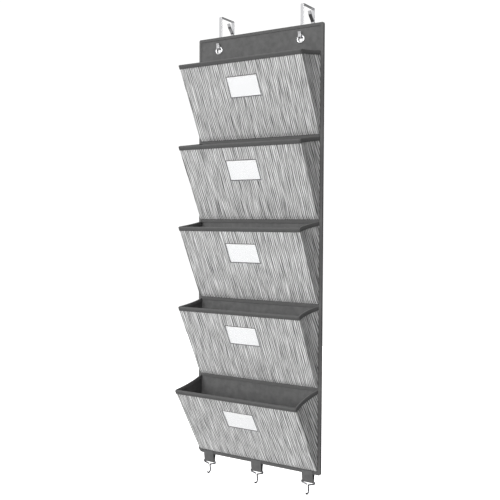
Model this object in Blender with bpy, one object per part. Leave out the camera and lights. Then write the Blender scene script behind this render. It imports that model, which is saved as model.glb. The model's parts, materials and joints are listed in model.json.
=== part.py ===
# Over-the-door file organizer: five file pockets on a stiff fabric panel that hangs from a door on two
# sprung metal hooks, with three wire hooks in webbing loops along its bottom edge.
# Metres, +Z up, the front faces -Y. The origin is midway between the door hooks, where the door's
# front face meets its top edge.

from math import asin, atan2, cos, hypot, pi, sin, sqrt, tan

import bmesh
import bpy
from mathutils import Vector

# Clearances
touch_gap = 0.0003  # between pieces that lie on each other
layer_gap = 0.0002  # between the layers of a sewn stack
cutter_overrun = 0.002  # how far a cutter runs past what it cuts
least_step = 0.00002  # points of a path that are closer than this are one point

# Panel
panel_width = 0.335
panel_height = 1.000
panel_below_door_top = 0.048
panel_top_corner_radius = 0.003
panel_bottom_corner_radius = 0.012
cover_thickness = 0.0009
panel_board_thickness = 0.0026
panel_board_inset = 0.0015  # from the covers' edge to the board's edge
binding_width = 0.0072
binding_thickness = 0.0008

# Pockets
pocket_count = 5
first_rim_drop = 0.0625  # from the panel's top to the first pocket's rim at the back
hem_height = 0.010  # from the last pocket's seam to the panel's bottom
rim_step = 0.006  # from one pocket's seam down to the next pocket's rim
pocket_depth = 0.086  # from the panel to the inside of the front, at the rim
last_pocket_depth = 0.0985  # the lowest pocket's gussets are cut wider, so it stands further open
rim_drop = 0.0126  # how much lower the rim is at the front than at the back
front_board_thickness = 0.0020
front_board_end_gap = 0.006  # from the board's ends to the sleeve's open sides
front_taper_height = 0.009  # where the sleeve narrows towards its bottom seam
front_seam_clearance = 0.0010  # from the hinge line to the sleeve's lower edge
rim_binding_width = 0.008
seam_binding_width = 0.009
seam_binding_thickness = 0.0009
gusset_thickness = 0.0012
gusset_bow = 0.005  # how far a gusset's middle is drawn inwards
gusset_start_share = 0.03  # the lowest part of a gusset, which is sewn into the seam

# Labels
label_width = 0.080
label_height = 0.048
label_below_rim = 0.039
label_card_thickness = 0.0003
window_thickness = 0.0004
window_border = 0.003

# Eyelets
hook_inset = 0.0575  # from the panel's side edges to the eyelets' centres
eyelet_drop = 0.031  # from the panel's top to the eyelet's centre
eyelet_hole_radius = 0.006
eyelet_wall = 0.0006
eyelet_outer_radius = 0.0098
eyelet_flange_height = 0.0012
washer_thickness = 0.0006

# Door hooks
hook_width = 0.008
hook_thickness = 0.0016
hook_bend_radius = 0.0018  # of the strip's middle
hook_seat_gap = 0.0005  # under the eyelet's wall, which leaves room for the bend
door_gap = 0.050
rear_leg_length = 0.038
tip_gap = 0.0024  # from the eyelet's flange to the upturned tip
tip_height = 0.016  # above the eyelet's centre
tip_flare = 0.0018
tip_flare_height = 0.005
tongue_fold_radius = 0.0012
tongue_root_height = 0.010  # above the rear leg's lower end
tongue_reach = 0.018  # from the rear leg towards the door
tongue_top_drop = 0.007  # below the door's top edge
tongue_bend_radius = 0.020
tongue_bend_share = 0.55  # how far up the tongue its middle bend lies
tongue_bow_share = 0.72  # how much of its reach it has there

# Webbing loops and wire hooks
loop_width = 0.0280
loop_thickness = 0.0013
loop_inset = 0.032  # from the panel's side edges to the outer loops' centres
loop_drop = 0.021  # from the panel's bottom to the loop's lowest point
loop_straight = 0.003  # below the panel's edge before the webbing turns in
loop_bend_radius = 0.006
wire_diameter = 0.0030
wire_side_gap = 0.0006  # beside the webbing
wire_bend_radius = 0.0020
shoulder_drop = 0.0046  # from the crossbar to the shoulders' outer ends
stem_top_drop = 0.0095
stem_length = 0.0125
wire_hook_radius = 0.0060
wire_hook_turn_share = 0.90  # of a half circle

# Facets
bend_steps = 5
ring_segments = 36
hook_arc_steps = 10
gusset_rows = 8
gusset_columns = 6

# Places along the depth, from the door's face at zero towards the front
leg_front_y = -hook_thickness
binding_back_y = leg_front_y - touch_gap
panel_back_y = binding_back_y - binding_thickness - layer_gap
board_back_y = panel_back_y - cover_thickness - layer_gap
front_cover_back_y = board_back_y - panel_board_thickness - layer_gap
panel_front_y = front_cover_back_y - cover_thickness
binding_front_y = panel_front_y - layer_gap - binding_thickness

# Places along the height and the width
panel_top_z = -panel_below_door_top
panel_bottom_z = panel_top_z - panel_height
eyelet_z = panel_top_z - eyelet_drop
hook_spacing = panel_width - 2 * hook_inset
pocket_pitch = (panel_height - first_rim_drop - hem_height + rim_step) / pocket_count
pocket_back_height = pocket_pitch - rim_step

# The pocket's front stands on its seam and leans out to the rim
hinge_y = panel_front_y - touch_gap
front_height = hypot(pocket_depth, pocket_back_height - rim_drop)
front_thickness = 2 * cover_thickness + 2 * layer_gap + front_board_thickness
gusset_outer_x = panel_width / 2 - binding_width - touch_gap
front_width = 2 * (gusset_outer_x - gusset_thickness - touch_gap)


def seam_z(pocket):
    return panel_top_z - first_rim_drop - pocket_back_height - pocket * pocket_pitch


def front_lean(pocket):
    depth = last_pocket_depth if pocket == pocket_count - 1 else pocket_depth
    return asin(depth / front_height)


# Materials


def material(name, colour, roughness, metallic=0.0, alpha=1.0):
    made = bpy.data.materials.new(name)
    made.use_nodes = True
    shader = made.node_tree.nodes["Principled BSDF"]
    shader.inputs["Base Color"].default_value = (*colour, 1.0)
    shader.inputs["Roughness"].default_value = roughness
    shader.inputs["Metallic"].default_value = metallic
    shader.inputs["Alpha"].default_value = alpha
    return made


# Modelling helpers


def rounded_path(corners):
    """The path through (point, radius) corners, with an arc at each corner that has a radius."""
    path = [Vector(corners[0][0])]
    for (before, _), (point, radius), (after, _) in zip(corners, corners[1:], corners[2:]):
        corner = Vector(point)
        if not radius:
            path.append(corner)
            continue
        backward = (Vector(before) - corner).normalized()
        forward = (Vector(after) - corner).normalized()
        half_angle = backward.angle(forward) / 2
        centre = corner + (backward + forward).normalized() * radius / sin(half_angle)
        start = (corner + backward * radius / tan(half_angle) - centre).normalized()
        end = (corner + forward * radius / tan(half_angle) - centre).normalized()
        for step in range(bend_steps + 1):
            point = centre + start.slerp(end, step / bend_steps) * radius
            if (point - path[-1]).length > least_step:
                path.append(point)
    path.append(Vector(corners[-1][0]))
    return path


def add_object(name, mesh, finish, parent=None):
    made = bpy.data.objects.new(name, mesh)
    made.data.materials.append(finish)
    made.parent = parent
    bpy.context.scene.collection.objects.link(made)
    return made


def add_pivot(name, location, turn=0.0):
    pivot = bpy.data.objects.new(name, None)
    pivot.location = location
    pivot.rotation_euler.x = turn
    bpy.context.scene.collection.objects.link(pivot)
    return pivot


def finish_mesh(name, shape):
    bmesh.ops.recalc_face_normals(shape, faces=shape.faces)
    mesh = bpy.data.meshes.new(name)
    shape.to_mesh(mesh)
    shape.free()
    return mesh


def ribbon(name, path, width, thickness, finish, parent=None):
    """A strip of even thickness that follows a path of (y, z) points and runs along X."""
    shape = bmesh.new()
    points = [shape.verts.new((-width / 2, y, z)) for y, z in path]
    edges = [shape.edges.new(pair) for pair in zip(points, points[1:])]
    side = bmesh.ops.extrude_edge_only(shape, edges=edges)["geom"]
    moved = [item for item in side if isinstance(item, bmesh.types.BMVert)]
    bmesh.ops.translate(shape, verts=moved, vec=(width, 0, 0))
    made = add_object(name, finish_mesh(name, shape), finish, parent)
    thicken(made, thickness)
    return made


def thicken(made, thickness):
    solidify = made.modifiers.new("Thickness", "SOLIDIFY")
    solidify.thickness = thickness
    solidify.offset = 0
    solidify.use_even_offset = True


def block(name, low, high, finish, parent=None):
    """A box between two corners."""
    low, high = Vector(low), Vector(high)
    shape = bmesh.new()
    bmesh.ops.create_cube(shape, size=1)
    bmesh.ops.scale(shape, verts=shape.verts, vec=high - low)
    bmesh.ops.translate(shape, verts=shape.verts, vec=(low + high) / 2)
    return add_object(name, finish_mesh(name, shape), finish, parent)


def slab(name, edge_inset, back_y, thickness, finish, least_radius=0.0):
    """A plate of the panel's outline, drawn in by edge_inset, from back_y towards the front."""
    right = panel_width / 2 - edge_inset
    top, bottom = panel_top_z - edge_inset, panel_bottom_z + edge_inset
    top_radius = max(panel_top_corner_radius - edge_inset, least_radius)
    bottom_radius = max(panel_bottom_corner_radius - edge_inset, least_radius)
    outline = rounded_path(
        [
            ((0, back_y, top), 0),
            ((right, back_y, top), top_radius),
            ((right, back_y, bottom), bottom_radius),
            ((-right, back_y, bottom), bottom_radius),
            ((-right, back_y, top), top_radius),
            ((0, back_y, top), 0),
        ]
    )[:-1]
    shape = bmesh.new()
    face = shape.faces.new([shape.verts.new(point) for point in outline])
    front = bmesh.ops.extrude_face_region(shape, geom=[face])["geom"]
    moved = [item for item in front if isinstance(item, bmesh.types.BMVert)]
    bmesh.ops.translate(shape, verts=moved, vec=(0, -thickness, 0))
    return add_object(name, finish_mesh(name, shape), finish)


def turned(name, profile, centre, finish):
    """A closed (radius, y) profile turned about a line along Y through centre."""
    shape = bmesh.new()
    points = [shape.verts.new((radius, y, 0)) for radius, y in profile]
    edges = [shape.edges.new(pair) for pair in zip(points, points[1:] + points[:1])]
    bmesh.ops.spin(
        shape,
        geom=points + edges,
        cent=(0, 0, 0),
        axis=(0, 1, 0),
        angle=2 * pi,
        steps=ring_segments,
        use_merge=True,
    )
    made = add_object(name, finish_mesh(name, shape), finish)
    made.location = centre
    made.data.shade_smooth()
    made.data.set_sharp_from_angle(angle=pi / 5)
    return made


def cut(made, cutter):
    boolean = made.modifiers.new("Cut", "BOOLEAN")
    boolean.operation = "DIFFERENCE"
    boolean.object = cutter
    cutter.hide_render = True
    cutter.display_type = "WIRE"


# Panel


def hole_cutter(x, radius):
    shape = bmesh.new()
    reach = panel_back_y - panel_front_y + 2 * cutter_overrun
    bmesh.ops.create_cone(
        shape, cap_ends=True, segments=ring_segments, radius1=radius, radius2=radius, depth=reach
    )
    made = add_object("eyelet_hole_cutter", finish_mesh("eyelet_hole_cutter", shape), grey_fabric)
    made.rotation_euler.x = pi / 2
    made.location = (x, (panel_back_y + panel_front_y) / 2, eyelet_z)
    return made


def build_panel():
    cover_inset = binding_thickness + layer_gap
    board_inset = cover_inset + panel_board_inset
    layers = [
        slab("panel_back_fabric", cover_inset, panel_back_y, cover_thickness, grey_fabric),
        slab("panel_board", board_inset, board_back_y, panel_board_thickness, board_card),
        slab("panel_front_fabric", cover_inset, front_cover_back_y, cover_thickness, grey_fabric),
    ]
    hole_radius = eyelet_hole_radius + eyelet_wall + touch_gap
    for x in (-hook_spacing / 2, hook_spacing / 2):
        cutter = hole_cutter(x, hole_radius)
        for layer in layers:
            cut(layer, cutter)

    # The binding is a slab of the full outline, hollowed for the covers' edges and opened inside
    stack = panel_back_y - panel_front_y + 2 * layer_gap
    total = stack + 2 * binding_thickness
    binding = slab("panel_edge_binding", 0.0, binding_back_y, total, dark_binding)
    groove = slab("binding_groove_cutter", binding_thickness, panel_back_y + layer_gap, stack, dark_binding)
    window = slab(
        "binding_window_cutter",
        binding_width,
        binding_back_y + cutter_overrun,
        total + 2 * cutter_overrun,
        dark_binding,
    )
    cut(binding, groove)
    cut(binding, window)


def build_eyelet(side, x):
    centre = (x, 0, eyelet_z)
    barrel_radius = eyelet_hole_radius + eyelet_wall
    flange_back_y = panel_front_y - layer_gap
    washer_front_y = panel_back_y + layer_gap
    barrel_end_y = washer_front_y + washer_thickness
    middle_radius = (eyelet_outer_radius + eyelet_hole_radius) / 2
    half_width = (eyelet_outer_radius - eyelet_hole_radius) / 2
    dome = []
    for step in range(bend_steps + 1):
        angle = pi * step / bend_steps
        radius = middle_radius + half_width * cos(angle)
        dome.append((radius, flange_back_y - eyelet_flange_height * sin(angle)))
    barrel = [
        (eyelet_hole_radius, barrel_end_y),
        (barrel_radius, barrel_end_y),
        (barrel_radius, flange_back_y),
    ]
    turned(f"eyelet_{side}", dome + barrel, centre, bright_metal)
    ring = [
        (barrel_radius + touch_gap, washer_front_y),
        (barrel_radius + touch_gap, barrel_end_y),
        (eyelet_outer_radius, barrel_end_y),
        (eyelet_outer_radius, washer_front_y),
    ]
    turned(f"eyelet_washer_{side}", ring, centre, bright_metal)


# Door hooks


def build_door_hook(side, x):
    # The panel's weight sits on the strip where it passes through the eyelet
    half_strip = hook_thickness / 2
    seat_rise = sqrt(eyelet_hole_radius**2 - (hook_width / 2) ** 2)
    seat_z = eyelet_z + seat_rise - hook_seat_gap
    flange_front_y = panel_front_y - layer_gap - eyelet_flange_height
    run_z = seat_z - half_strip
    tip_y = flange_front_y - tip_gap - half_strip
    tip_z = eyelet_z + tip_height
    leg_y = -half_strip
    rear_y = door_gap + half_strip
    fold_y = rear_y - 2 * tongue_fold_radius
    fold_z = -rear_leg_length
    root_z = fold_z + tongue_root_height
    top_z = -tongue_top_drop
    middle_y = fold_y + (door_gap - tongue_reach - fold_y) * tongue_bow_share
    middle_z = root_z + (top_z - root_z) * tongue_bend_share
    corners = [
        ((tip_y - tip_flare, tip_z), 0),
        ((tip_y, tip_z - tip_flare_height), 2 * hook_bend_radius),
        ((tip_y, run_z), hook_bend_radius),
        ((leg_y, run_z), hook_bend_radius),
        ((leg_y, half_strip), hook_bend_radius),
        ((rear_y, half_strip), hook_bend_radius),
        ((rear_y, fold_z), tongue_fold_radius),
        ((fold_y, fold_z), tongue_fold_radius),
        ((fold_y, root_z), tongue_bend_radius / 2),
        ((middle_y, middle_z), tongue_bend_radius),
        ((door_gap - tongue_reach, top_z), 0),
    ]
    pivot = Vector((x, flange_front_y, seat_z))
    path = [(y - pivot.y, z - pivot.z) for y, z in rounded_path(corners)]
    tilt = add_pivot(f"door_hook_{side}_tilt", pivot)
    ribbon(f"door_hook_{side}", path, hook_width, hook_thickness, bright_metal, tilt)


# Pockets


def build_front(name, hinge):
    """The front's pieces, in the hinge's frame: Z runs up the front and -Y points out of it."""
    half_cover = cover_thickness / 2
    inner, outer = half_cover, front_thickness - half_cover
    fold_radius = (outer - inner) / 2
    seam_outer = inner + cover_thickness + layer_gap
    lower = front_seam_clearance
    top = front_height - half_cover
    sleeve = [
        ((-inner, lower), 0),
        ((-inner, top), fold_radius),
        ((-outer, top), fold_radius),
        ((-outer, front_taper_height), 0),
        ((-seam_outer, lower), 0),
    ]
    ribbon(f"{name}_front_cover", rounded_path(sleeve), front_width, cover_thickness, streaked_fabric, hinge)

    board_x = front_width / 2 - front_board_end_gap
    board_inner = cover_thickness + layer_gap
    board_top = front_height - cover_thickness - fold_radius
    block(
        f"{name}_front_board",
        (-board_x, -board_inner - front_board_thickness, front_taper_height),
        (board_x, -board_inner, board_top),
        board_card,
        hinge,
    )

    stand_off = layer_gap + binding_thickness / 2
    rim_top = front_height + stand_off
    rim_foot = front_height - rim_binding_width
    rim_radius = front_thickness / 2 + stand_off
    rim = [
        ((stand_off, rim_foot), 0),
        ((stand_off, rim_top), rim_radius),
        ((-front_thickness - stand_off, rim_top), rim_radius),
        ((-front_thickness - stand_off, rim_foot), 0),
    ]
    ribbon(f"{name}_rim_binding", rounded_path(rim), front_width, binding_thickness, dark_binding, hinge)


def build_label(name, hinge):
    card_back = -front_thickness - layer_gap
    card_front = card_back - label_card_thickness
    window_inner = card_front - layer_gap
    window_front = window_inner - window_thickness
    card_top = front_height - label_below_rim
    card_foot = card_top - label_height
    card_x = label_width / 2
    block(
        f"{name}_label_card",
        (-card_x, card_front, card_foot),
        (card_x, card_back, card_top),
        white_card,
        hinge,
    )
    slot_x = card_x + touch_gap
    slot_foot = card_foot - touch_gap
    window = block(
        f"{name}_label_window",
        (-slot_x - window_border, window_front, slot_foot - window_border),
        (slot_x + window_border, card_back, card_top - window_border),
        clear_film,
        hinge,
    )
    slot = block(
        f"{name}_label_slot_cutter",
        (-slot_x, window_inner, slot_foot),
        (slot_x, card_back + cutter_overrun, card_top + cutter_overrun),
        clear_film,
        hinge,
    )
    cut(window, slot)


def gusset_point(pocket, height_share, across, drawn_in):
    """A point of a gusset's middle surface, as (depth, height, inward bow)."""
    back = Vector((hinge_y, seam_z(pocket) + height_share * pocket_back_height))
    lean = front_lean(pocket)
    up = Vector((-sin(lean), cos(lean)))
    out = Vector((-cos(lean), -sin(lean)))
    inside = Vector((hinge_y, seam_z(pocket))) + up * height_share * front_height
    if drawn_in:
        point = back.lerp(inside, across)
    else:
        point = inside + out * front_thickness
    bow = 4 * across * (1 - across) * height_share**2 * gusset_bow if drawn_in else 0.0
    return point.x, point.y, bow


def build_gusset(name, side, pocket, sign):
    middle_x = gusset_outer_x - gusset_thickness / 2
    shape = bmesh.new()
    rows = []
    for row in range(gusset_rows + 1):
        height_share = gusset_start_share + (1 - gusset_start_share) * row / gusset_rows
        places = [(column / gusset_columns, True) for column in range(gusset_columns + 1)] + [(1.0, False)]
        points = []
        for across, drawn_in in places:
            y, z, bow = gusset_point(pocket, height_share, across, drawn_in)
            points.append(shape.verts.new((sign * (middle_x - bow), y, z)))
        rows.append(points)
    for lower, upper in zip(rows, rows[1:]):
        for column in range(len(lower) - 1):
            shape.faces.new((lower[column], lower[column + 1], upper[column + 1], upper[column]))
    made = add_object(f"{name}_gusset_{side}", finish_mesh(name, shape), streaked_fabric)
    made.data.shade_smooth()
    thicken(made, gusset_thickness)


def build_pocket(pocket):
    name = f"pocket_{pocket + 1}"
    hinge = add_pivot(f"{name}_hinge", (0, hinge_y, seam_z(pocket)), front_lean(pocket))
    build_front(name, hinge)
    build_label(name, hinge)
    build_gusset(name, "left", pocket, -1)
    build_gusset(name, "right", pocket, 1)
    # The last pocket's seam lies under the panel's own edge binding
    if pocket < pocket_count - 1:
        block(
            f"{name}_seam_binding",
            (-front_width / 2, hinge_y - seam_binding_thickness, seam_z(pocket) - seam_binding_width),
            (front_width / 2, hinge_y, seam_z(pocket)),
            dark_binding,
        )


# Webbing loops and wire hooks


def build_webbing_loop(place, x, crossbar):
    half_webbing = loop_thickness / 2
    front_y = binding_front_y - touch_gap - half_webbing
    back_y = binding_back_y + touch_gap + half_webbing
    lap_z = panel_bottom_z + binding_width  # sewn on as far up as the binding goes
    turn_z = panel_bottom_z - loop_straight
    wrap_radius = wire_diameter / 2 + touch_gap + half_webbing
    foot_z = crossbar.z - wrap_radius
    neck_z = crossbar.z + wrap_radius
    corners = [
        ((front_y, lap_z), 0),
        ((front_y, turn_z), loop_bend_radius),
        ((crossbar.y - wrap_radius, neck_z), loop_bend_radius),
        ((crossbar.y - wrap_radius, foot_z), wrap_radius),
        ((crossbar.y + wrap_radius, foot_z), wrap_radius),
        ((crossbar.y + wrap_radius, neck_z), loop_bend_radius),
        ((back_y, turn_z), loop_bend_radius),
        ((back_y, lap_z), 0),
    ]
    made = ribbon(
        f"webbing_loop_{place}", rounded_path(corners), loop_width, loop_thickness, dark_binding
    )
    made.location.x = x


def wire_path():
    """The wire's middle line, with the crossbar's middle at the origin."""
    end_x = loop_width / 2 + wire_side_gap + wire_diameter / 2
    stem_foot = -stem_top_drop - stem_length
    cut_end_x = wire_diameter + 2 * touch_gap
    frame = [
        ((-cut_end_x, 0, -stem_top_drop + cut_end_x / 2), 0),
        ((-end_x, 0, -shoulder_drop), wire_bend_radius),
        ((-end_x, 0, 0), wire_bend_radius),
        ((end_x, 0, 0), wire_bend_radius),
        ((end_x, 0, -shoulder_drop), wire_bend_radius),
        ((0, 0, -stem_top_drop), wire_bend_radius),
        ((0, 0, stem_foot), 0),
    ]
    path = rounded_path(frame)
    for step in range(1, hook_arc_steps + 1):
        angle = pi * wire_hook_turn_share * step / hook_arc_steps
        y = -wire_hook_radius * (1 - cos(angle))
        path.append(Vector((0, y, stem_foot - wire_hook_radius * sin(angle))))
    return path


def hanging_tilt(path):
    """The turn about X that brings the wire's centre of mass under its crossbar."""
    weight = Vector((0, 0, 0))
    for start, end in zip(path, path[1:]):
        weight += (start + end) / 2 * (end - start).length
    return atan2(-weight.y, -weight.z)


def build_wire_hook(place, crossbar):
    path = wire_path()
    wire = bpy.data.curves.new(f"wire_hook_{place}", "CURVE")
    wire.dimensions = "3D"
    wire.bevel_depth = wire_diameter / 2
    wire.bevel_resolution = 2
    wire.use_fill_caps = True
    line = wire.splines.new("POLY")
    line.points.add(len(path) - 1)
    for point, place_on_path in zip(line.points, path):
        point.co = (*place_on_path, 1)
    line.use_smooth = True
    made = add_object(f"wire_hook_{place}", wire, bright_metal)
    made.location = crossbar
    made.rotation_euler.x = hanging_tilt(path)


# The object

for old in list(bpy.data.objects):
    bpy.data.objects.remove(old, do_unlink=True)

grey_fabric = material("grey_polyester_fabric", (0.135, 0.135, 0.14), 0.9)
streaked_fabric = material("streaked_linen_look_fabric", (0.42, 0.42, 0.42), 0.9)
dark_binding = material("dark_grey_binding_tape", (0.09, 0.09, 0.095), 0.85)
board_card = material("stiffener_board", (0.33, 0.30, 0.26), 0.8)
bright_metal = material("nickel_plated_steel", (0.78, 0.78, 0.80), 0.22, metallic=1.0)
clear_film = material("clear_label_film", (0.9, 0.9, 0.92), 0.12, alpha=0.3)
white_card = material("white_label_card", (0.9, 0.9, 0.9), 0.7)

build_panel()
for side, x in (("left", -hook_spacing / 2), ("right", hook_spacing / 2)):
    build_eyelet(side, x)
    build_door_hook(side, x)
for pocket in range(pocket_count):
    build_pocket(pocket)
loop_reach = panel_width / 2 - loop_inset
for place, x in (("left", -loop_reach), ("middle", 0), ("right", loop_reach)):
    loop_foot = panel_bottom_z - loop_drop
    crossbar_z = loop_foot + loop_thickness + touch_gap + wire_diameter / 2
    crossbar = Vector((x, (binding_front_y + binding_back_y) / 2, crossbar_z))
    build_webbing_loop(place, x, crossbar)
    build_wire_hook(place, crossbar)
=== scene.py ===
import json
import math

import bmesh
import bpy
from mathutils import Matrix, Vector, noise


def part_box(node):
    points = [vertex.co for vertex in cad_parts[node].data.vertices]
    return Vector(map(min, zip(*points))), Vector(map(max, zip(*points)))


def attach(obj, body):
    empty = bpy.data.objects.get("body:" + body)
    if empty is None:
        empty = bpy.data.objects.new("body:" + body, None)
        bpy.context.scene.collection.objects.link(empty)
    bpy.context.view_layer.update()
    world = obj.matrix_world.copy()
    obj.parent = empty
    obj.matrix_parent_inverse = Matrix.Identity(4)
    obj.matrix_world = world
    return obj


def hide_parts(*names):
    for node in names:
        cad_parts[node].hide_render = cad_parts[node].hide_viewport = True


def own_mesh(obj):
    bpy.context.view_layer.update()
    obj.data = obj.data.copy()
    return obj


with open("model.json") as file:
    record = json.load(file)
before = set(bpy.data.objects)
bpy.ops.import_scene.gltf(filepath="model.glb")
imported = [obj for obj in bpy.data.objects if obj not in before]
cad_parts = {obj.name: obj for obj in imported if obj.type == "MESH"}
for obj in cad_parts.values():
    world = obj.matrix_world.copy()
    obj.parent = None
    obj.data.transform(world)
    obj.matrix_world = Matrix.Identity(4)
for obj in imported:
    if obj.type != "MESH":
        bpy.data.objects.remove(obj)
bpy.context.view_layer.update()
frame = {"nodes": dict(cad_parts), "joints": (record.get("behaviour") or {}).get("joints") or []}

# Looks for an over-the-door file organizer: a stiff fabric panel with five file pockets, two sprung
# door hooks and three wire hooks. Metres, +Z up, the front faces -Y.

joints = {joint["name"]: joint for joint in frame["joints"]}
print("organizer: frame loaded,", len(frame["nodes"]), "nodes")


# Working with pieces

straight = 0.9  # the cosine from which an edge or a face counts as lying along an axis
close = 0.0001  # places this near count as one place
longEdge = 0.1  # edges that run the length of a tape are longer than this


def selectOnly(piece):
    bpy.ops.object.select_all(action="DESELECT")
    piece.select_set(True)
    bpy.context.view_layer.objects.active = piece


def editPick(piece, kind, test):  # edit mode with only the elements that pass the test selected
    selectOnly(piece)
    bpy.ops.object.mode_set(mode="EDIT")
    bpy.ops.mesh.select_mode(type=kind)
    bpy.ops.mesh.select_all(action="DESELECT")
    shape = bmesh.from_edit_mesh(piece.data)
    for item in {"VERT": shape.verts, "EDGE": shape.edges, "FACE": shape.faces}[kind]:
        if test(item):
            item.select_set(True)
    bmesh.update_edit_mesh(piece.data)


def editDone():
    bpy.ops.object.mode_set(mode="OBJECT")


def middleOf(item):
    return sum((corner.co for corner in item.verts), Vector()) / len(item.verts)


def runsAlong(edge, axis, least=longEdge):  # an edge that lies along one axis and is longer than least
    span = edge.verts[1].co - edge.verts[0].co
    return abs(span[axis]) > least and abs(span[axis]) > straight * span.length


def turnFacesOut(piece):
    editPick(piece, "FACE", lambda face: True)
    bpy.ops.mesh.normals_make_consistent(inside=False)
    editDone()


def addBox(name, low, high):
    bpy.ops.object.select_all(action="DESELECT")
    bpy.ops.mesh.primitive_cube_add(size=1, location=(low + high) / 2, scale=high - low)
    piece = bpy.context.object
    piece.name = piece.data.name = name
    bpy.ops.object.transform_apply(location=True, rotation=True, scale=True)
    return piece


def addSheet(name, low, high, across, up):  # an upright grid at low's depth that faces the front
    bpy.ops.object.select_all(action="DESELECT")
    middle = Vector(((low.x + high.x) / 2, low.y, (low.z + high.z) / 2))
    bpy.ops.mesh.primitive_grid_add(
        x_subdivisions=across, y_subdivisions=up, size=1, location=middle, rotation=(math.pi / 2, 0, 0)
    )
    piece = bpy.context.object
    piece.name = piece.data.name = name
    piece.scale = (high.x - low.x, high.z - low.z, 1)
    bpy.ops.object.transform_apply(location=True, rotation=True, scale=True)
    return piece


def copyNode(name, nodeName, weld=0.000005, flatAngle=0.5):
    # a copy of a solid, its loose triangles merged into whole faces
    piece = bpy.data.objects.new(name, frame["nodes"][nodeName].data.copy())
    bpy.context.scene.collection.objects.link(piece)
    piece.data.materials.clear()
    editPick(piece, "VERT", lambda corner: True)
    bpy.ops.mesh.remove_doubles(threshold=weld)
    bpy.ops.mesh.dissolve_limited(angle_limit=math.radians(flatAngle))
    editDone()
    return piece


def useModifier(piece, kind, **settings):
    selectOnly(piece)
    modifier = piece.modifiers.new(kind.title(), kind)
    for name, value in settings.items():
        setattr(modifier, name, value)
    bpy.ops.object.modifier_apply(modifier=modifier.name)


def roundEdges(piece, width, segments=2, angle=40):
    useModifier(piece, "BEVEL", width=width, segments=segments, limit_method="ANGLE",
                angle_limit=math.radians(angle), use_clamp_overlap=True)


def joinAll(name, pieces):
    bpy.ops.object.select_all(action="DESELECT")
    for piece in pieces:
        piece.select_set(True)
    bpy.context.view_layer.objects.active = pieces[0]
    bpy.ops.object.join()
    pieces[0].name = pieces[0].data.name = name
    return pieces[0]


def copyPiece(piece, name):  # a copy with a mesh of its own
    made = piece.copy()
    made.data = piece.data.copy()
    made.name = made.data.name = name
    bpy.context.scene.collection.objects.link(made)
    return made


def settle(piece, place):  # moves a piece to its place and keeps the place in the mesh
    selectOnly(piece)
    piece.matrix_world = place
    bpy.ops.object.transform_apply(location=True, rotation=True, scale=True)


def wear(piece, *materials):
    piece.data.materials.clear()
    for material in materials:
        piece.data.materials.append(material)


def handOver(piece, body, slotName, *nodes, smoothAngle=35):
    selectOnly(piece)
    bpy.ops.object.shade_smooth_by_angle(angle=math.radians(smoothAngle))
    if slotName in ("bright_metal", "clear_film"):  # so that flat glossy faces reflect as flat
        useModifier(piece, "WEIGHTED_NORMAL", weight=100, keep_sharp=True)
    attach(piece, body)
    if nodes:
        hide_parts(*nodes)


# Materials

def linear(hexColour):
    channels = [int(hexColour[place:place + 2], 16) / 255 for place in (0, 2, 4)]
    return [c / 12.92 if c <= 0.04045 else ((c + 0.055) / 1.055) ** 2.4 for c in channels] + [1.0]


def addNode(tree, kind, inputs=None, stops=None, **settings):
    made = tree.nodes.new("ShaderNode" + kind)
    for name, value in settings.items():
        setattr(made, name, value)
    for name, value in (inputs or {}).items():
        if isinstance(value, bpy.types.NodeSocket):
            tree.links.new(value, made.inputs[name])
        else:
            made.inputs[name].default_value = value
    if stops:
        ramp = made.color_ramp
        while len(ramp.elements) < len(stops):
            ramp.elements.new(0.5)
        for element, (position, hexColour) in zip(ramp.elements, stops):
            element.position = position
            element.color = linear(hexColour)
    return made


def newMaterial(name, **constants):  # constants are the shader's own sockets, by name
    material = bpy.data.materials.new(name)
    material.use_nodes = True
    tree = material.node_tree
    shader = tree.nodes["Principled BSDF"]
    for socket, value in constants.items():
        shader.inputs[socket.replace("_", " ")].default_value = value
    return material, tree, shader


def addBump(tree, shader, height, distance, strength):
    bump = addNode(tree, "Bump", {"Height": height, "Distance": distance, "Strength": strength})
    tree.links.new(bump.outputs[0], shader.inputs["Normal"])


def plainWeave(tree, coordinates, thread):  # threads over and under, two ways, as a height
    # Its callers' threads are drawn a little coarser than real ones, so that they show from close by
    turned = addNode(tree, "Mapping", {"Vector": coordinates, "Scale": [math.pi / thread] * 3})
    axes = addNode(tree, "SeparateXYZ", {0: turned.outputs[0]})
    waves = [addNode(tree, "Math", {0: axes.outputs[axis]}, operation="SINE") for axis in (0, 1)]
    return addNode(tree, "Math", {0: waves[0].outputs[0], 1: waves[1].outputs[0]},
                   operation="MULTIPLY").outputs[0]


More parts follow.
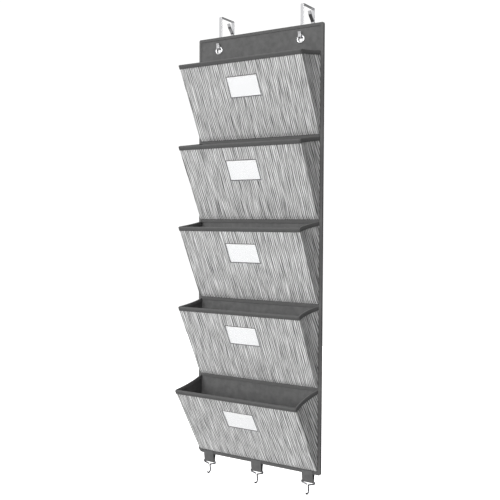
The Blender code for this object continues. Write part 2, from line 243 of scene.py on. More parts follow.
def makeLinenLook():
    # Polyester woven in a linen look: matt, with close dark and light yarns that come and go. Real yarns
    # are taken as 0.4 mm wide, too fine to show from here, so the streaks are drawn 0.8 and 1.9 mm wide
    streaks = {
        "wide": (0.0019, 0.075, 2.0), "fine": (0.0008, 0.034, 3.0),  # each layer's width, length, detail
        "drift": (0.009, 0.070, 1.0), "breakUp": 0.6, "fineShare": 0.45,
        "line": 0.0046, "lineStray": 8.5, "lineShare": 0.15,  # faint lines: spacing, unevenness, strength
        "stops": [(0.34, "242424"), (0.43, "747474"), (0.50, "b0b0b0"),
                  (0.57, "d8d8d8"), (0.66, "f6f6f6")],
        "thread": 0.0006, "threadDepth": 0.00010,
    }
    material, tree, shader = newMaterial(
        "linen_look_woven_polyester", Roughness=0.86, Sheen_Weight=0.08, Sheen_Roughness=0.5
    )
    plan = addNode(tree, "TexCoord").outputs["UV"]
    layers = {}
    for part in ("wide", "fine", "drift"):
        width, length, detail = streaks[part]
        scaled = addNode(tree, "Mapping", {"Vector": plan, "Scale": (1 / width, 1 / length, 1)})
        layers[part] = addNode(tree, "TexNoise", {
            "Vector": scaled.outputs[0], "Scale": 1.0, "Detail": detail, "Roughness": streaks["breakUp"],
        }).outputs[0]
    across = addNode(tree, "SeparateXYZ", {0: plan}).outputs[0]
    turns = addNode(tree, "Math", {0: across, 1: 2 * math.pi / streaks["line"]}, operation="MULTIPLY")
    stray = addNode(tree, "Math", {0: layers["drift"], 1: streaks["lineStray"], 2: turns.outputs[0]},
                    operation="MULTIPLY_ADD")
    yarns = addNode(tree, "Math", {0: stray.outputs[0]}, operation="SINE")
    yarnShade = addNode(tree, "MapRange", {"Value": yarns.outputs[0], "From Min": -1.0})
    both = addNode(tree, "Mix", {0: streaks["fineShare"], 2: layers["wide"], 3: layers["fine"]})
    every = addNode(tree, "Mix", {0: streaks["lineShare"], 2: both.outputs[0], 3: yarnShade.outputs[0]})
    ink = addNode(tree, "ValToRGB", {"Fac": every.outputs[0]}, stops=streaks["stops"])
    tree.links.new(ink.outputs["Color"], shader.inputs["Base Color"])
    addBump(tree, shader, plainWeave(tree, plan, streaks["thread"]), streaks["threadDepth"], strength=0.7)
    return material


def makeCloth(name, hexes, thread, depth, roughness, sheen, patch=0.012, span=(0.32, 0.68)):
    # Woven polyester: matt, with its threads over and under and slightly uneven dye
    material, tree, shader = newMaterial(name, Roughness=roughness, Sheen_Weight=sheen)
    place = addNode(tree, "TexCoord").outputs["Object"]
    parts = addNode(tree, "SeparateXYZ", {0: place})
    upright = addNode(tree, "CombineXYZ", {0: parts.outputs[0], 1: parts.outputs[2], 2: 0.0})
    patches = addNode(tree, "TexNoise", {"Vector": place, "Scale": 1 / patch, "Detail": 6.0})
    dye = addNode(tree, "ValToRGB", {"Fac": patches.outputs[0]}, stops=list(zip(span, hexes)))
    tree.links.new(dye.outputs["Color"], shader.inputs["Base Color"])
    addBump(tree, shader, plainWeave(tree, upright.outputs[0], thread), depth, strength=0.8)
    return material


def makeTape(name, hexes, rib, depth, axis, patch=0.00625, ribShare=0.25, span=(0.2, 0.7)):
    # Woven tape, webbing and twisted thread: a fine rib across the length, with a faint sheen on it
    material, tree, shader = newMaterial(name, Roughness=0.78, Sheen_Weight=0.1)
    place = addNode(tree, "TexCoord").outputs["Object"]
    parts = addNode(tree, "SeparateXYZ", {0: place})
    turns = addNode(tree, "Math", {0: parts.outputs[axis], 1: 2 * math.pi / rib}, operation="MULTIPLY")
    ribs = addNode(tree, "Math", {0: turns.outputs[0]}, operation="SINE")
    patches = addNode(tree, "TexNoise", {"Vector": place, "Scale": 1 / patch, "Detail": 5.0})
    mixed = addNode(tree, "Mix", {0: ribShare, 2: patches.outputs[0], 3: ribs.outputs[0]})
    dye = addNode(tree, "ValToRGB", {"Fac": mixed.outputs[0]}, stops=list(zip(span, hexes)))
    tree.links.new(dye.outputs["Color"], shader.inputs["Base Color"])
    addBump(tree, shader, ribs.outputs[0], depth, strength=0.8)
    return material


def makeMetal(name, hexColour, roughness, spread, scratch,
              patchesPerMetre=220.0, linesPerMetre=(3000.0, 300.0, 300.0)):
    # Steel, plated with nickel or zinc or bare where it was sheared: faint drawing lines, uneven gloss
    material, tree, shader = newMaterial(name, Metallic=1.0)
    shader.inputs["Base Color"].default_value = linear(hexColour)
    place = addNode(tree, "TexCoord").outputs["Object"]
    patches = addNode(tree, "TexNoise", {"Vector": place, "Scale": patchesPerMetre, "Detail": 4.0})
    gloss = addNode(tree, "MapRange", {"Value": patches.outputs[0], "To Min": roughness - spread,
                                       "To Max": roughness + spread})
    tree.links.new(gloss.outputs[0], shader.inputs["Roughness"])
    drawn = addNode(tree, "Mapping", {"Vector": place, "Scale": linesPerMetre})
    lines = addNode(tree, "TexNoise", {"Vector": drawn.outputs[0], "Scale": 1.0, "Detail": 2.0})
    addBump(tree, shader, lines.outputs[0], scratch, strength=0.5)
    return material


def makeBoard(name, hexes, fibre, roughness, stretch=2.5, fuzz=0.00003, span=(0.3, 0.7)):
    # Pressed paper: matt, with short pale and dark fibres, longer upright than across
    material, tree, shader = newMaterial(name, Roughness=roughness)
    place = addNode(tree, "TexCoord").outputs["Object"]
    drawn = addNode(tree, "Mapping", {"Vector": place,
                                      "Scale": (1 / fibre, 1 / fibre, 1 / fibre / stretch)})
    fibres = addNode(tree, "TexNoise", {"Vector": drawn.outputs[0], "Scale": 1.0, "Detail": 5.0})
    colour = addNode(tree, "ValToRGB", {"Fac": fibres.outputs[0]}, stops=list(zip(span, hexes)))
    tree.links.new(colour.outputs["Color"], shader.inputs["Base Color"])
    addBump(tree, shader, fibres.outputs[0], fuzz, strength=0.4)
    return material


def makeFilm(roughness=(0.10, 0.24), wavesPerMetre=60.0, waveDepth=0.0004):
    # Clear soft film: glossy, faintly milky, with shallow waves from being sewn on
    material, tree, shader = newMaterial("clear_soft_film", Alpha=0.14, IOR=1.5)
    shader.inputs["Base Color"].default_value = linear("f4f6f8")
    place = addNode(tree, "TexCoord").outputs["Object"]
    waves = addNode(tree, "TexNoise", {"Vector": place, "Scale": wavesPerMetre, "Detail": 2.0})
    gloss = addNode(tree, "MapRange", {"Value": waves.outputs[0], "To Min": roughness[0],
                                       "To Max": roughness[1]})
    tree.links.new(gloss.outputs[0], shader.inputs["Roughness"])
    addBump(tree, shader, waves.outputs[0], waveDepth, strength=0.3)
    return material


linenLook = makeLinenLook()
panelCloth = makeCloth("grey_oxford_polyester", ("505050", "5c5c5c"),
                       thread=0.0007, depth=0.00012, roughness=0.85, sheen=0.06)
# The lining's dark grey is painted shade: it stands for the shade inside the pockets
liningPaintedShade = makeCloth("lining_polyester_painted_shade", ("4a4a4a", "565656"),
                        thread=0.0005, depth=0.00008, roughness=0.88, sheen=0.05)
tapeRib = {"rib": 0.0007, "depth": 0.00006}
tapeAcross = makeTape("binding_tape_ribbed_in_x", ("494949", "555555"), axis=0, **tapeRib)
tapeDeep = makeTape("binding_tape_ribbed_in_y", ("4f4f4f", "5c5c5c"), axis=1, **tapeRib)
tapeUp = makeTape("binding_tape_ribbed_in_z", ("4f4f4f", "5c5c5c"), axis=2, **tapeRib)
webbingWeave = makeTape("ribbed_polypropylene_webbing", ("4c4c4c", "626262"),
                        axis=0, rib=0.0016, depth=0.00018)
sewingThreadAndShadowLine = makeTape("dark_polyester_thread_and_painted_shadow_line", ("4a4a4a", "5e5e5e"),
                        axis=0, rib=0.0004, depth=0.00004)
nickelPlate = makeMetal("bright_nickel_plate", "e2e2e4", roughness=0.16, spread=0.05, scratch=0.00001)
shearedEdge = makeMetal("sheared_steel_edge", "8e8e90", roughness=0.38, spread=0.08, scratch=0.00004)
zincWire = makeMetal("drawn_zinc_plated_wire", "6c6c70", roughness=0.26, spread=0.06, scratch=0.00002)
greyBoard = makeBoard("stiffener_greyboard", ("9a948a", "a9a398"), fibre=0.0012, roughness=0.85)
labelPaper = makeBoard("white_label_card", ("fbfbfb", "ffffff"), fibre=0.0006, roughness=0.65)
clearFilm = makeFilm()
print("organizer: materials made,", len(bpy.data.materials))


# Sewing

thread = {
    "length": 0.0026, "gap": 0.0009, "width": 0.0005, "height": 0.00034,
    "segments": 6, "rings": 4,
}


def sewRows(name, rows):  # each row is (start, end, outward): lock stitches from start to end
    made = []
    for start, end, outward in rows:
        run = end - start
        pitch = thread["length"] + thread["gap"]
        bpy.ops.object.select_all(action="DESELECT")
        bpy.ops.mesh.primitive_uv_sphere_add(
            segments=thread["segments"], ring_count=thread["rings"], radius=0.5
        )
        stitch = bpy.context.object
        along = run.normalized()
        side = outward.cross(along)
        turn = Matrix((along, side, outward)).transposed().to_4x4()
        size = Matrix.Diagonal((thread["length"], thread["width"], thread["height"], 1))
        settle(stitch, Matrix.Translation(start + along * pitch / 2) @ turn @ size)
        useModifier(stitch, "ARRAY", count=int(run.length / pitch), use_relative_offset=False,
                    use_constant_offset=True, constant_offset_displace=along * pitch)
        made.append(stitch)
    return joinAll(name, made)


# Panel

panel = {
    "binding": 0.0072, "tapeThickness": 0.0008,  # how far the tape reaches in, and how thick it is
    "crispRadius": 0.004, "crispSteps": 4, "softRadius": 0.012, "softSteps": 8, "cornerCut": 0.011,
    "foldRadius": 0.0013, "foldSteps": 4, "foldAngle": 1.2,  # edges sharper than this are its folds
    "tapeCuts": {0: 48, 2: 150},  # short steps along x and z for its puckers
    "stitchInset": 0.0056, "pucker": 0.00022, "puckerSpan": 0.011,
    "holeRadius": 0.0069, "holeSides": 48, "cutterLength": 0.03, "clothGrid": (44, 130),
}


def makePanelCover(name, nodeName):
    low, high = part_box(nodeName)
    piece = addSheet(name, low, high, *panel["clothGrid"])
    for sideways in (-1, 1):  # the lower corners are cut off under the binding
        corner = Vector((sideways * high.x, low.y, low.z))
        editPick(piece, "FACE", lambda face: True)
        bpy.ops.mesh.bisect(plane_co=corner + Vector((-sideways * panel["cornerCut"], 0, 0)),
                            plane_no=(sideways, 0, -1), clear_outer=True)
        editDone()
    useModifier(piece, "SOLIDIFY", thickness=high.y - low.y, offset=-1)
    for side in ("left", "right"):
        eyeLow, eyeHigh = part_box(f"eyelet_{side}")
        centre = (eyeLow + eyeHigh) / 2
        bpy.ops.object.select_all(action="DESELECT")
        bpy.ops.mesh.primitive_cylinder_add(
            vertices=panel["holeSides"], radius=panel["holeRadius"], depth=panel["cutterLength"],
            location=centre, rotation=(math.pi / 2, 0, 0)
        )
        cutter = bpy.context.object
        useModifier(piece, "BOOLEAN", operation="DIFFERENCE", object=cutter)
        bpy.data.objects.remove(cutter)
    wear(piece, panelCloth)
    handOver(piece, "panel", "panel_fabric", nodeName)
    return piece


def makeEdgeBinding():
    low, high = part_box("panel_edge_binding")
    piece = addBox("panel_edge_tape", low, high)
    middle = (low + high) / 2

    def roundCorner(sideways, upwards, radius, steps):
        editPick(piece, "EDGE", lambda edge: runsAlong(edge, 1, close)
                 and middleOf(edge).x * sideways > 0 and (middleOf(edge).z - middle.z) * upwards > 0)
        bpy.ops.mesh.bevel(offset=radius, segments=steps)
        editDone()

    roundCorner(-1, -1, panel["softRadius"], panel["softSteps"])  # this corner was sewn rounder
    editPick(piece, "FACE", lambda face: abs(face.normal.y) > straight)
    bpy.ops.mesh.inset(thickness=panel["binding"])
    bpy.ops.mesh.delete(type="FACE")
    editDone()
    for sideways, upwards in ((-1, 1), (1, 1), (1, -1)):
        roundCorner(sideways, upwards, panel["crispRadius"], panel["crispSteps"])
    for axis, cuts in panel["tapeCuts"].items():
        editPick(piece, "EDGE", lambda edge: runsAlong(edge, axis))
        bpy.ops.mesh.subdivide(number_cuts=cuts)
        editDone()
    editPick(piece, "EDGE", lambda edge: len(edge.link_faces) == 2
             and edge.calc_face_angle() > panel["foldAngle"])
    bpy.ops.mesh.bevel(offset=panel["foldRadius"], segments=panel["foldSteps"])
    editDone()
    for corner in piece.data.vertices:  # drawn in at the stitches and slightly full between them
        depth = noise.noise(corner.co / panel["puckerSpan"]) * panel["pucker"]
        corner.co.y += math.copysign(depth, corner.co.y - middle.y)
    useModifier(piece, "SOLIDIFY", thickness=panel["tapeThickness"], offset=-1)
    wear(piece, tapeUp, tapeAcross)
    for face in piece.data.polygons:  # the ribs cross the tape on all four sides
        fromSide = high.x - abs(face.center.x)
        fromEnd = min(high.z - face.center.z, face.center.z - low.z)
        if fromEnd < fromSide:
            face.material_index = 1
    handOver(piece, "panel", "binding_tape", "panel_edge_binding")


def makePanelStitches():
    low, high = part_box("panel_edge_binding")
    inset = panel["stitchInset"]
    left, right, top, bottom = low.x + inset, high.x - inset, high.z - inset, low.z + inset
    rows = []
    for y, outward in ((low.y, Vector((0, -1, 0))), (high.y, Vector((0, 1, 0)))):
        rows += [
            (Vector((left, y, bottom)), Vector((left, y, top)), outward),
            (Vector((right, y, bottom)), Vector((right, y, top)), outward),
            (Vector((left, y, top)), Vector((right, y, top)), outward),
            (Vector((left, y, bottom)), Vector((right, y, bottom)), outward),
        ]
    piece = sewRows("panel_edge_stitches", rows)
    wear(piece, sewingThreadAndShadowLine)
    handOver(piece, "panel", "binding_tape")


frontSheet = makePanelCover("panel_front_cloth", "panel_front_fabric")
backSheet = makePanelCover("panel_back_cloth", "panel_back_fabric")
makeEdgeBinding()
makePanelStitches()
wear(frame["nodes"]["panel_board"], greyBoard)
print("organizer: panel made")


# Eyelets

eyelet = {
    "hole": 0.0060, "washerHole": 0.0070, "wall": 0.0005, "segments": 64, "rings": 16,
    "nearHole": 0.0066,  # the brim's inner edge, where its barrel starts, lies within this of the middle
}


def addRing(name, centre, outer, hole, halfDepth):  # a round bar bent to a ring, squeezed flat
    bar = (outer - hole) / 2
    bpy.ops.object.select_all(action="DESELECT")
    bpy.ops.mesh.primitive_torus_add(
        major_radius=outer - bar, minor_radius=bar, major_segments=eyelet["segments"],
        minor_segments=eyelet["rings"], rotation=(math.pi / 2, 0, 0), location=centre
    )
    piece = bpy.context.object
    piece.name = piece.data.name = name
    piece.scale.z = halfDepth / bar
    bpy.ops.object.transform_apply(location=True, rotation=True, scale=True)
    return piece


def makeEyelet(side):
    low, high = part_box(f"eyelet_{side}")
    outer = (high.x - low.x) / 2
    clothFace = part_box("panel_front_fabric")[0].y  # the brim sits on the panel's front cloth
    centre = Vector(((low.x + high.x) / 2, clothFace, (low.z + high.z) / 2))
    piece = addRing(f"eyelet_brim_{side}", centre, outer, eyelet["hole"], clothFace - low.y)
    editPick(piece, "VERT", lambda corner: corner.co.y > clothFace + close)
    bpy.ops.mesh.delete(type="VERT")
    editDone()
    editPick(piece, "EDGE", lambda edge: edge.is_boundary
             and (middleOf(edge) - centre).length < eyelet["nearHole"])
    bpy.ops.mesh.extrude_region_move(TRANSFORM_OT_translate={"value": (0, high.y - clothFace, 0)})
    editDone()
    turnFacesOut(piece)
    useModifier(piece, "SOLIDIFY", thickness=eyelet["wall"], offset=-1)
    wear(piece, nickelPlate)
    handOver(piece, "panel", "bright_metal", f"eyelet_{side}", smoothAngle=50)

    low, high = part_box(f"eyelet_washer_{side}")
    washer = addRing(f"eyelet_washer_{side}_ring", (low + high) / 2, outer, eyelet["washerHole"],
                     (high.y - low.y) / 2)
    wear(washer, nickelPlate)
    handOver(washer, "panel", "bright_metal", f"eyelet_washer_{side}", smoothAngle=50)


for side in ("left", "right"):
    makeEyelet(side)
print("organizer: eyelets made")


# Door hooks

doorHook = {"edgeRadius": 0.0003, "sideFrom": 0.8}  # the cosine from which a face is a sheared side


def makeDoorHook(side):
    piece = copyNode(f"door_hook_{side}_strip", f"door_hook_{side}")
    roundEdges(piece, doorHook["edgeRadius"], segments=3, angle=60)
    wear(piece, nickelPlate, shearedEdge)
    for face in piece.data.polygons:
        if abs(face.normal.x) > doorHook["sideFrom"]:
            face.material_index = 1
    handOver(piece, f"door_hook_{side}_body", "bright_metal", f"door_hook_{side}", smoothAngle=40)


for side in ("left", "right"):
    makeDoorHook(side)
print("organizer: door hooks made")


# Pockets

pocketFront = {
    "grid": (72, 44), "clothThickness": 0.0009,
    "sideReturn": 0.0022, "taper": 0.009,  # the sleeve narrows over this height, towards its seam
    "seamShare": 0.5,  # of its thickness, which is what is left of it at the seam
    "pucker": 0.00035, "drawnIn": 0.4, "puckerReach": 0.010, "puckerSpan": 0.009,
    "cutStep": (0.41, 0.23),  # each pocket is cut this much further along and up the cloth
}
rimTape = {
    "thickness": 0.0008, "foldRadius": 0.0026, "foldSteps": 5, "stitchRise": 0.0018, "cuts": 90,
    "pucker": 0.00016,
}
seamTape = {"cuts": 60, "edgeRadius": 0.0003, "stitchInset": 0.0016}
gusset = {
    "grid": (20, 40), "thickness": 0.0012, "bow": 0.005, "start": 0.004, "cutStep": (0.7, 0.31),
    "areaShare": 0.52,  # of its box, since it narrows to its foot
    "insideFrom": -0.3,  # the cosine below which a face looks inwards and is lined, its dark grey a painted shade
    "tapeDepth": 0.008, "tapeThickness": 0.0007, "tapeStand": 0.0008, "clearance": 0.0002,
    "tapeRadius": 0.0002, "tapeSteps": 12, "tapeWrap": [2.0, 2.15, 2.2],  # and round the front's edge
    "frontFrom": 0.95, "innerLeg": 0.06,  # beside the front the tape has next to no inner leg
    "streakShare": 0.65,  # its streaks are drawn wider than the front's, since they are seen at a slant
}
label = {
    "outline": 0.0015, "outlineHeight": 0.0004,
    "film": 0.0003, "cornerRadius": 0.0015, "cornerSteps": 4, "welt": 0.0022, "weltDepth": 0.00012,
}


def boxIn(nodeName, place):  # a node's box in a pocket's own leaning frame
    node = frame["nodes"][nodeName]
    inverse = place.inverted() @ node.matrix_world
    points = [inverse @ corner.co for corner in node.data.vertices]
    return (Vector([min(point[axis] for point in points) for axis in range(3)]),
            Vector([max(point[axis] for point in points) for axis in range(3)]))


def layPattern(piece, place, alongX, start):  # the cloth's own plan in metres: u across it, v up it
    inverse = place.inverted()
    plan = piece.data.uv_layers.get("plan") or piece.data.uv_layers.new(name="plan")
    piece.data.uv_layers.active = plan
    plan.active_render = True
    for loop in piece.data.loops:
        point = inverse @ piece.data.vertices[loop.vertex_index].co
        across = point.x if alongX else point.y * gusset["streakShare"]
        plan.data[loop.index].uv = (start[0] + across, start[1] + point.z)


def puckered(piece, low, high):  # drawn in along the side and bottom seams
    for corner in piece.data.vertices:
        edge = min(corner.co.x - low.x, high.x - corner.co.x, corner.co.z - low.z)
        near = max(0.0, 1 - edge / pocketFront["puckerReach"])
        wave = noise.noise(corner.co / pocketFront["puckerSpan"])
        corner.co.y += near**2 * (pocketFront["drawnIn"] + wave) * pocketFront["pucker"]


def makeOuterCloth(place):
    low, high = boxIn("pocket_1_front_cover", place)
    piece = addSheet("front_cloth", low, high, *pocketFront["grid"])
    puckered(piece, low, high)
    for corner in piece.data.vertices:
        share = max(0.0, 1 - corner.co.z / pocketFront["taper"])
        corner.co.y += share * pocketFront["seamShare"] * (high.y - low.y)
    editPick(piece, "EDGE", lambda edge: edge.is_boundary and abs(middleOf(edge).x) > high.x - close)
    bpy.ops.mesh.extrude_region_move(TRANSFORM_OT_translate={"value": (0, pocketFront["sideReturn"], 0)})
    editDone()
    useModifier(piece, "SOLIDIFY", thickness=pocketFront["clothThickness"], offset=-1)
    wear(piece, linenLook)
    return piece


def makeLining(place):
    low, high = boxIn("pocket_1_front_cover", place)
    inner = high.y - pocketFront["clothThickness"]
    piece = addSheet("lining_cloth", Vector((low.x, inner, low.z)), high, *pocketFront["grid"])
    useModifier(piece, "SOLIDIFY", thickness=pocketFront["clothThickness"], offset=-1)
    # its dark grey is painted shade inside the pocket
    wear(piece, liningPaintedShade)
    return piece


def makeRimTape(place):
    low, high = boxIn("pocket_1_rim_binding", place)
    piece = addBox("rim_tape", low, high)
    middle = (low + high) / 2
    editPick(piece, "EDGE", lambda edge: runsAlong(edge, 0) and middleOf(edge).z > middle.z)
    bpy.ops.mesh.bevel(offset=rimTape["foldRadius"], segments=rimTape["foldSteps"])
    editDone()
    editPick(piece, "FACE", lambda face: face.normal.z < -straight)
    bpy.ops.mesh.delete(type="FACE")
    editDone()
    editPick(piece, "EDGE", lambda edge: runsAlong(edge, 0))
    bpy.ops.mesh.subdivide(number_cuts=rimTape["cuts"])
    editDone()
    for corner in piece.data.vertices:  # puckered between its ends
        if abs(corner.co.x) < high.x - close:
            depth = noise.noise(corner.co / panel["puckerSpan"]) * rimTape["pucker"]
            corner.co.y += math.copysign(depth, corner.co.y - middle.y)
    useModifier(piece, "SOLIDIFY", thickness=rimTape["thickness"], offset=-1)
    wear(piece, tapeAcross)
    return piece


def makeRimStitches(place):
    low, high = boxIn("pocket_1_rim_binding", place)
    z = low.z + rimTape["stitchRise"]
    rows = [(Vector((low.x, y, z)), Vector((high.x, y, z)), Vector((0, way, 0)))
            for y, way in ((low.y, -1), (high.y, 1))]
    piece = sewRows("rim_stitches", rows)
    wear(piece, sewingThreadAndShadowLine)
    return piece


def makeWindow(place):  # a clear sleeve sealed on three sides and open at its top
    low, high = boxIn("pocket_1_label_window", place)
    film = addBox("window_film", low, high)
    middle = (low + high) / 2
    editPick(film, "EDGE", lambda edge: runsAlong(edge, 1, close) and middleOf(edge).z < middle.z)
    bpy.ops.mesh.bevel(offset=label["cornerRadius"], segments=label["cornerSteps"])
    editDone()
    editPick(film, "FACE", lambda face: max(face.normal.y, face.normal.z) > straight)
    bpy.ops.mesh.delete(type="FACE")
    editDone()
    editPick(film, "FACE", lambda face: face.normal.y < -straight)
    bpy.ops.mesh.inset(thickness=label["welt"])
    bpy.ops.transform.translate(value=(0, label["weltDepth"], 0))
    editDone()
    useModifier(film, "SOLIDIFY", thickness=label["film"], offset=-1)
    roundEdges(film, label["film"] / 3, angle=60)
    wear(film, clearFilm)
    return film


def makeWindowOutline(place):  # a dark line round the card: thread along its sides and foot, and a painted shadow along the sleeve's open top
    low, high = boxIn("pocket_1_label_card", place)
    face = boxIn("pocket_1_label_window", place)[0].y
    line = label["outline"]
    grown = Vector((line / 2, 0, line / 2))
    low.y, high.y = face - label["outlineHeight"], face + label["weltDepth"]
    outline = addBox("window_outline", low - grown, high + grown)
    editPick(outline, "FACE", lambda face: abs(face.normal.y) > straight)
    bpy.ops.mesh.inset(thickness=line)
    bpy.ops.mesh.delete(type="FACE")
    editDone()
    editPick(outline, "EDGE", lambda edge: edge.is_boundary)
    bpy.ops.mesh.bridge_edge_loops()
    editDone()
    roundEdges(outline, line / 5)
    # the line's top side is painted shadow at the sleeve's open edge, in the thread's colour
    wear(outline, sewingThreadAndShadowLine)
    return outline


def gussetPoint(hinge, lean, sizes, across, share):
    # across runs from the panel at 0 to the front's inside at 1 and on to its outside at 2
    backHeight, frontHeight, frontThickness = sizes
    up = Vector((0, -math.sin(lean), math.cos(lean)))
    out = Vector((0, -math.cos(lean), -math.sin(lean)))
    back = hinge + Vector((0, 0, share * backHeight))
    inside = hinge + up * share * frontHeight
    if across > 1:
        lost = pocketFront["seamShare"] * max(0.0, 1 - share * frontHeight / pocketFront["taper"])
        return inside + out * frontThickness * (1 - lost) * (across - 1), 0.0
    # it bows inwards most at its middle and its top
    return back.lerp(inside, across), 4 * across * (1 - across) * share**2 * gusset["bow"]


def makeGusset(name, side, sign, hinge, lean, place, sizes, start):
    low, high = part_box(f"{name}_gusset_{side}")
    outerX = max(abs(low.x), abs(high.x))
    columns, rows = gusset["grid"]
    piece = addSheet(f"{name}_gusset_{side}_cloth", Vector((0, 0, 0)), Vector((1, 0, 1)), columns, rows)
    for corner in piece.data.vertices:
        share = gusset["start"] + (1 - gusset["start"]) * corner.co.z
        column = corner.co.x * columns
        across = column / (columns - 1) if column <= columns - 1 else 1 + (column - columns + 1)
        point, bow = gussetPoint(hinge, lean, sizes, min(across, 2), share)
        corner.co = Vector((sign * (outerX - bow), point.y, point.z))
    turnFacesOut(piece)
    if piece.data.polygons[0].normal.x * sign < 0:
        piece.data.flip_normals()
    useModifier(piece, "SOLIDIFY", thickness=gusset["thickness"], offset=-1)
    layPattern(piece, place, False, start)
    wear(piece, linenLook, liningPaintedShade)
    # faces looking into the pocket wear the lining's dark grey, a painted shade
    for face in piece.data.polygons:
        if face.normal.x * sign < gusset["insideFrom"]:
            face.material_index = 1
    return piece


def makeGussetTape(name, side, sign, hinge, lean, sizes):  # folded over the gusset's upper edge
    low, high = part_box(f"{name}_gusset_{side}")
    outerX = max(abs(low.x), abs(high.x))
    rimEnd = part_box(f"{name}_rim_binding")[1].x + gusset["clearance"]
    stand = gusset["tapeStand"]
    along = [step / gusset["tapeSteps"] for step in range(gusset["tapeSteps"] + 1)] + gusset["tapeWrap"]
    profile = [(True, 1.0), (True, 0.5), (True, 0.0), (False, 0.0), (False, 0.5), (False, 1.0)]
    tape = addSheet(f"{name}_gusset_{side}_tape", Vector((0, 0, 0)), Vector((1, 0, 1)),
                    len(along) - 1, len(profile) - 1)
    for corner in tape.data.vertices:
        across = along[round(corner.co.x * (len(along) - 1))]
        isOuter, drop = profile[round(corner.co.z * (len(profile) - 1))]
        lift = 0.0 if drop else stand
        besideFront = across > gusset["frontFrom"]
        if besideFront and not isOuter:
            drop *= gusset["innerLeg"]
        point, bow = gussetPoint(hinge, lean, sizes, across, 1 - drop * gusset["tapeDepth"] / sizes[0])
        x = outerX - bow + (stand if isOuter else -gusset["thickness"] - stand)
        if besideFront:
            x = max(x, rimEnd)
        if across == along[-1]:
            x = rimEnd + (stand / 2 if isOuter else 0.0)
        corner.co = Vector((sign * x, point.y, point.z + lift))
    tape.data.update()
    if tape.data.polygons[0].normal.x * sign < 0:
        tape.data.flip_normals()
    useModifier(tape, "SOLIDIFY", thickness=gusset["tapeThickness"], offset=-1)
    roundEdges(tape, gusset["tapeRadius"], angle=60)
    wear(tape, tapeDeep)
    return tape


def makeSeamTape(name):
    low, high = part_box(f"{name}_seam_binding")
    piece = addBox(f"{name}_seam_tape", low, high)
    editPick(piece, "EDGE", lambda edge: runsAlong(edge, 0))
    bpy.ops.mesh.subdivide(number_cuts=seamTape["cuts"])
    editDone()
    roundEdges(piece, seamTape["edgeRadius"], angle=60)
    wear(piece, tapeAcross)
    handOver(piece, "panel", "binding_tape", f"{name}_seam_binding")
    rows = [(Vector((low.x, low.y, z)), Vector((high.x, low.y, z)), Vector((0, -1, 0)))
            for z in (low.z + seamTape["stitchInset"], high.z - seamTape["stitchInset"])]
    stitches = sewRows(f"{name}_seam_stitches", rows)
    wear(stitches, sewingThreadAndShadowLine)
    handOver(stitches, "panel", "binding_tape")


def pocketPlace(name):
    hinge = Vector(joints[f"{name}_fold"]["pos_m"])
    axis = joints[f"{name}_card_slide"]["axis"]
    lean = math.atan2(-axis[1], axis[2])
    return hinge, lean, Matrix.Translation(hinge) @ Matrix.Rotation(lean, 4, "X")


pocketCount = 5
firstPlace = pocketPlace("pocket_1")[2]
frontSet = {  # each piece of a front, its slot and the nodes it stands for
    "front_cloth": (makeOuterCloth(firstPlace), "pocket_fabric", ["front_cover"]),
    "lining": (makeLining(firstPlace), "pocket_fabric", []),
    "rim_tape": (makeRimTape(firstPlace), "binding_tape", ["rim_binding"]),
    "rim_stitches": (makeRimStitches(firstPlace), "binding_tape", []),
    "window_film": (makeWindow(firstPlace), "clear_film", ["label_window"]),
    "window_outline": (makeWindowOutline(firstPlace), "binding_tape", []),
}
coverLow, coverHigh = boxIn("pocket_1_front_cover", firstPlace)
for number in range(1, pocketCount + 1):
    name = f"pocket_{number}"
    hinge, lean, place = pocketPlace(name)
    for part, (model, slotName, nodes) in frontSet.items():
        piece = copyPiece(model, f"{name}_{part}")
        settle(piece, place)
        if part in ("front_cloth", "lining"):
            layPattern(piece, place, True, [step * number for step in pocketFront["cutStep"]])
        handOver(piece, f"{name}_front", slotName, *[f"{name}_{node}" for node in nodes])
    wear(frame["nodes"][f"{name}_front_board"], greyBoard)
    wear(frame["nodes"][f"{name}_label_card"], labelPaper)
    gussetLow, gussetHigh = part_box(f"{name}_gusset_left")
    sizes = (gussetHigh.z - hinge.z, coverHigh.z, coverHigh.y - coverLow.y)
    for side, sign in (("left", -1), ("right", 1)):
        cutFrom = (gusset["cutStep"][0] * number, gusset["cutStep"][1] * number + sign)
        cloth = makeGusset(name, side, sign, hinge, lean, place, sizes, cutFrom)
        handOver(cloth, "panel", "pocket_fabric", f"{name}_gusset_{side}")
        tape = makeGussetTape(name, side, sign, hinge, lean, sizes)
        handOver(tape, "panel", "binding_tape")
        for piece in (cloth, tape):
            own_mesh(piece)
    if number < pocketCount:
        makeSeamTape(name)
    print(f"organizer: {name} made")
for model, *_ in frontSet.values():
    bpy.data.objects.remove(model)


# Webbing loops and wire hooks

webbing = {"selvedge": 0.0004, "stitchReach": 0.0115, "stitchDrop": (0.0014, 0.0052)}
wire = {
    "gauge": 0.0034, "sideGap": 0.0004, "bend": 0.0020, "shoulder": 0.0046, "endRadius": 0.0003,
    "stemTop": 0.0095, "stem": 0.0125, "hookRadius": 0.0060, "turnShare": 0.90, "arcSteps": 16,
    "cutEnd": 0.00289,  # from the stem's middle, so that the wire's end stops just beside it
    "roundness": 6,
}


def makeWebbingLoop(place):
    piece = copyNode(f"webbing_loop_{place}_strap", f"webbing_loop_{place}")
    roundEdges(piece, webbing["selvedge"], angle=60)
    wear(piece, webbingWeave)
    handOver(piece, "panel", "webbing", f"webbing_loop_{place}")
    low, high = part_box(f"webbing_loop_{place}")
    middle = (low.x + high.x) / 2
    rows = [(Vector((middle - webbing["stitchReach"], y, high.z - drop)),
             Vector((middle + webbing["stitchReach"], y, high.z - drop)), Vector((0, way, 0)))
            for drop in webbing["stitchDrop"] for y, way in ((low.y, -1), (high.y, 1))]
    stitches = sewRows(f"webbing_loop_{place}_stitches", rows)
    wear(stitches, sewingThreadAndShadowLine)
    handOver(stitches, "panel", "webbing")


